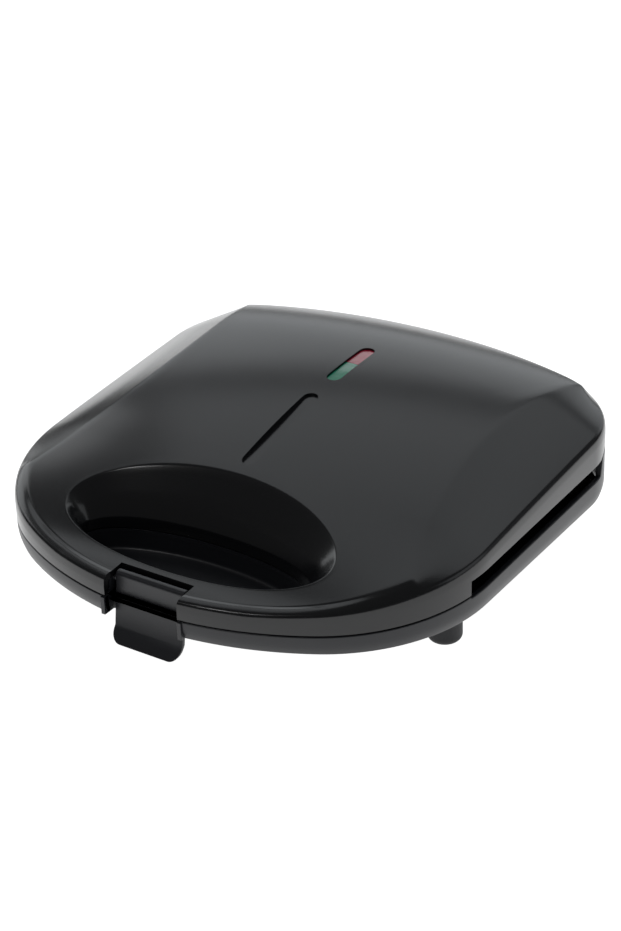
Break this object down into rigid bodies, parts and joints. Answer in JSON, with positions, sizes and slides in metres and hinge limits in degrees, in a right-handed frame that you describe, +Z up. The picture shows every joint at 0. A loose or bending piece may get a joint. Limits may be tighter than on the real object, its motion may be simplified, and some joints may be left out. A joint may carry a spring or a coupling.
{
  "type": "sandwich toaster",
  "caption": "Closed two-slice sandwich toaster with a domed hinged lid, an oval finger opening, a folded front latch clip, lamp windows and triangular pocket plates.",
  "frame": {"origin": "bottom centre of the closed toaster's bounding box, at the level the feet stand on", "axes": "+X to the right seen from the front, +Y from the latch towards the hinge, +Z up; millimetre design, metres in the record"},
  "size_m": [0.23, 0.2446, 0.0668],
  "materials": {
    "gloss_black": "glossy black moulded plastic",
    "satin_black": "satin black moulded plastic",
    "nonstick": "cast aluminium with a black non-stick coating",
    "sheath_steel": "drawn tube with a dull finish",
    "sheet_steel": "plain pressed sheet",
    "screw_steel": "zinc plated",
    "foot_rubber": "moulded rubber",
    "ceramic": "plain off-white",
    "fuse_sleeve": "woven glass sleeve",
    "white_plastic": "natural white plastic",
    "lamp_glass": "clear glass",
    "red_clear": "translucent red, polished",
    "green_clear": "translucent green, polished"
  },
  "bodies": {
    "base": {"base_housing": "gloss_black", "bottom_cover": "satin_black", "lower_plate": "nonstick", "lower_heater": "sheath_steel", "lower_heater_clamp": "sheet_steel", "lower_reflector": "sheet_steel", "lower_plate_screws": "screw_steel", "thermostat": "ceramic", "thermal_fuse": "fuse_sleeve", "terminal_block": "ceramic", "foot_front_left": "foot_rubber", "foot_front_right": "foot_rubber", "foot_rear_left": "foot_rubber", "foot_rear_right": "foot_rubber", "bottom_screws": "screw_steel", "cord_bushing": "satin_black", "cord_clamp": "satin_black", "cord_clamp_screws": "screw_steel", "hinge_pin_left": "screw_steel", "hinge_pin_right": "screw_steel"},
    "lid": {"lid_cover": "gloss_black", "lid_frame": "satin_black", "upper_plate": "nonstick", "upper_heater": "sheath_steel", "upper_heater_clamp": "sheet_steel", "upper_reflector": "sheet_steel", "upper_plate_screws": "screw_steel", "frame_screws": "screw_steel", "lamp_holder": "white_plastic", "power_lamp": "lamp_glass", "ready_lamp": "lamp_glass", "red_lens": "red_clear", "green_lens": "green_clear", "latch_pin": "screw_steel"},
    "latch": {"latch_clip": "gloss_black"}
  },
  "joints": [
    {"name": "lid_hinge", "type": "hinge", "parent": "base", "child": "lid", "pos_m": [0, 0.1177, 0.0375], "axis": [-1, 0, 0], "range_deg": [0, 100]},
    {"name": "latch_hinge", "type": "hinge", "parent": "lid", "child": "latch", "pos_m": [0, -0.1122, 0.028], "axis": [-1, 0, 0], "range_deg": [0, 30]}
  ]
}
